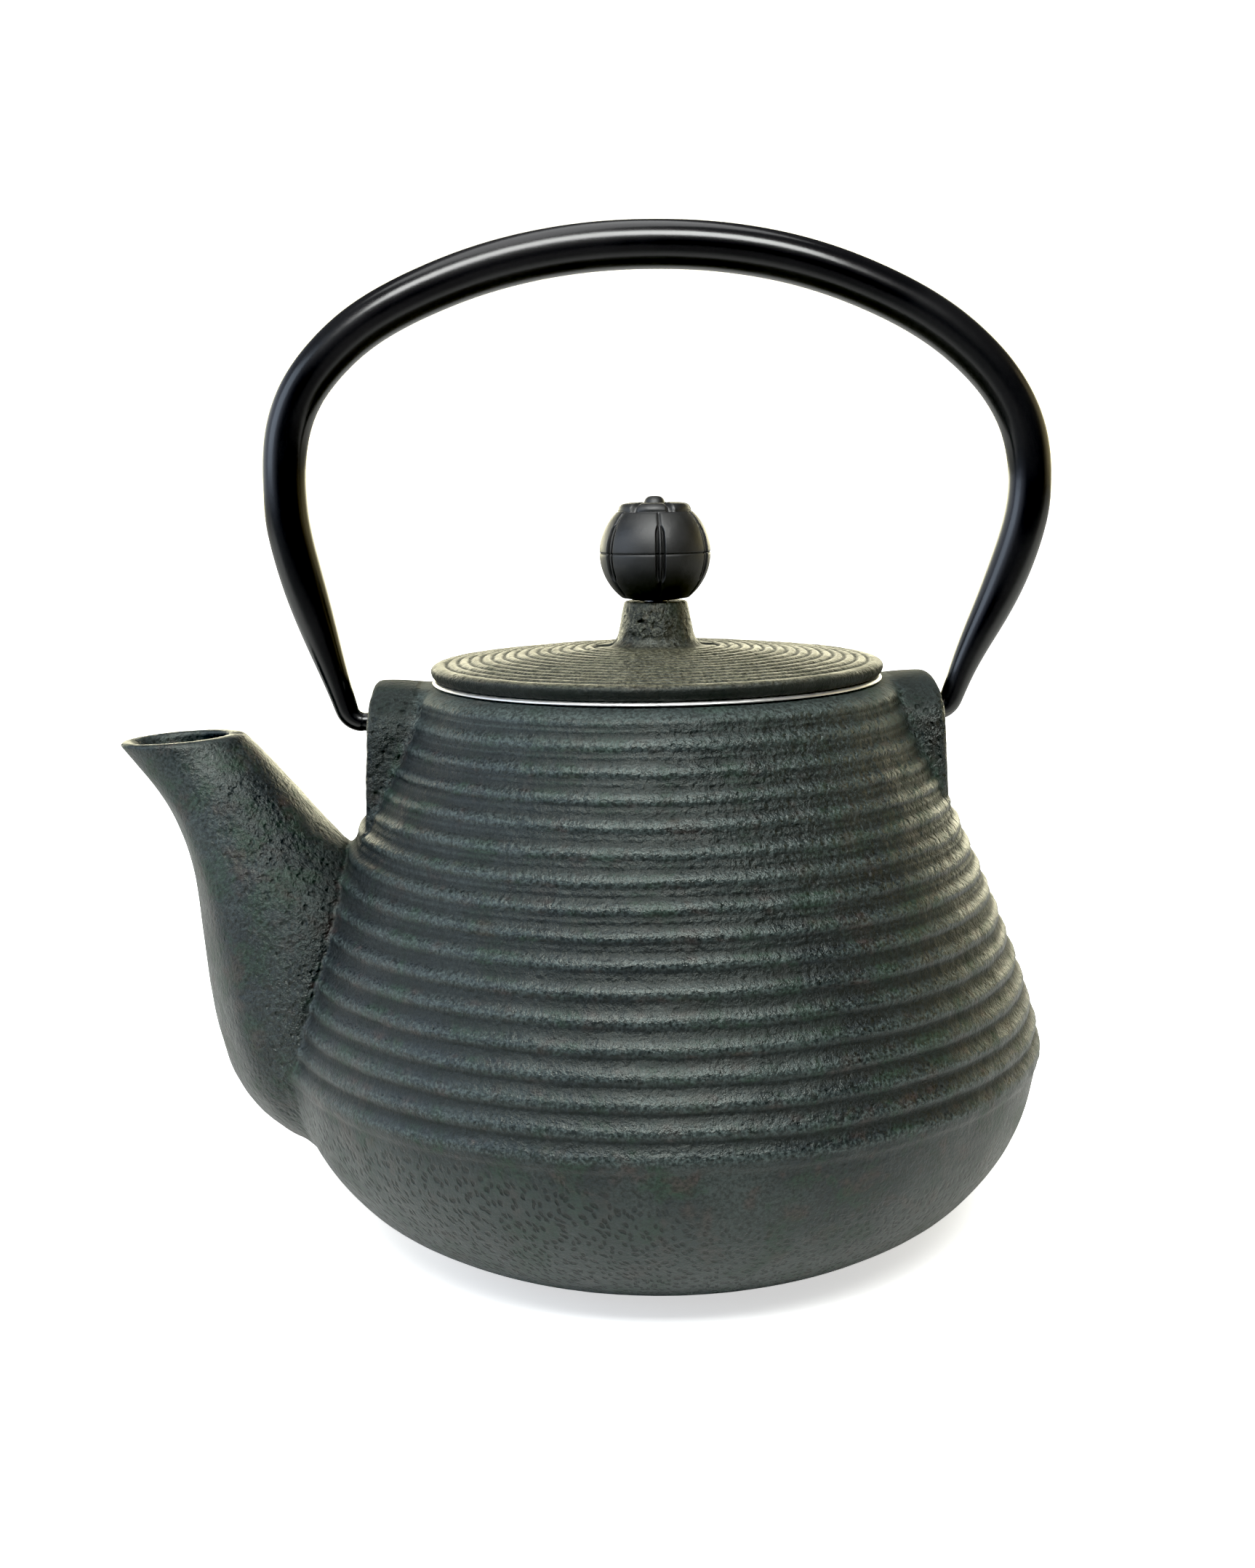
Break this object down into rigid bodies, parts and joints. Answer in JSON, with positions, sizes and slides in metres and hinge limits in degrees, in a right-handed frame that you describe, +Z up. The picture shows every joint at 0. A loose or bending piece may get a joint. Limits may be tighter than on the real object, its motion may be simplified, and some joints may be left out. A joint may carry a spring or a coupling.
{
  "type": "teapot",
  "caption": "Ribbed cast-iron teapot with a swinging bail handle, a cast spout, a lift-off lid with a ball knob and a lift-out steel infuser.",
  "frame": {"origin": "on the pot's axis in the plane of its flat base", "axes": "+Z up along the pot's axis; the spout points along -X and the two handle lugs lie on the X axis"},
  "size_m": [0.1769, 0.145, 0.1886],
  "materials": {
    "iron": "matt black-green, sandy cast surface; black enamel lining inside",
    "lid_iron": "matt olive-brown over black, sandy cast surface",
    "knob_iron": "smooth satin black",
    "handle_paint": "glossy black enamel",
    "steel": "satin stainless",
    "bright_steel": "bright stainless"
  },
  "bodies": {
    "pot": {"pot_body": "iron"},
    "bail": {"handle": "handle_paint"},
    "infuser": {"infuser_rim": "bright_steel", "infuser_mesh_wall": "steel", "infuser_mesh_floor": "steel", "infuser_base_ring": "bright_steel"},
    "lid_group": {"lid": "lid_iron"},
    "knob_group": {"knob": "knob_iron", "knob_stem": "steel", "knob_washer": "steel"}
  },
  "joints": [
    {"name": "handle_swing", "type": "hinge", "parent": "pot", "child": "bail", "pos_m": [0, 0, 0.0974], "axis": [1, 0, 0], "range_deg": [-118, 118]},
    {"name": "infuser_lift", "type": "slide", "parent": "pot", "child": "infuser", "axis": [0, 0, 1], "range_m": [0, 0.019]},
    {"name": "lid_lift", "type": "slide", "parent": "infuser", "child": "lid_group", "axis": [0, 0, 1], "range_m": [0, 0.019]},
    {"name": "knob_spin", "type": "hinge", "parent": "lid_group", "child": "knob_group", "pos_m": [0, 0, 0.12826], "axis": [0, 0, 1], "continuous": true}
  ]
}
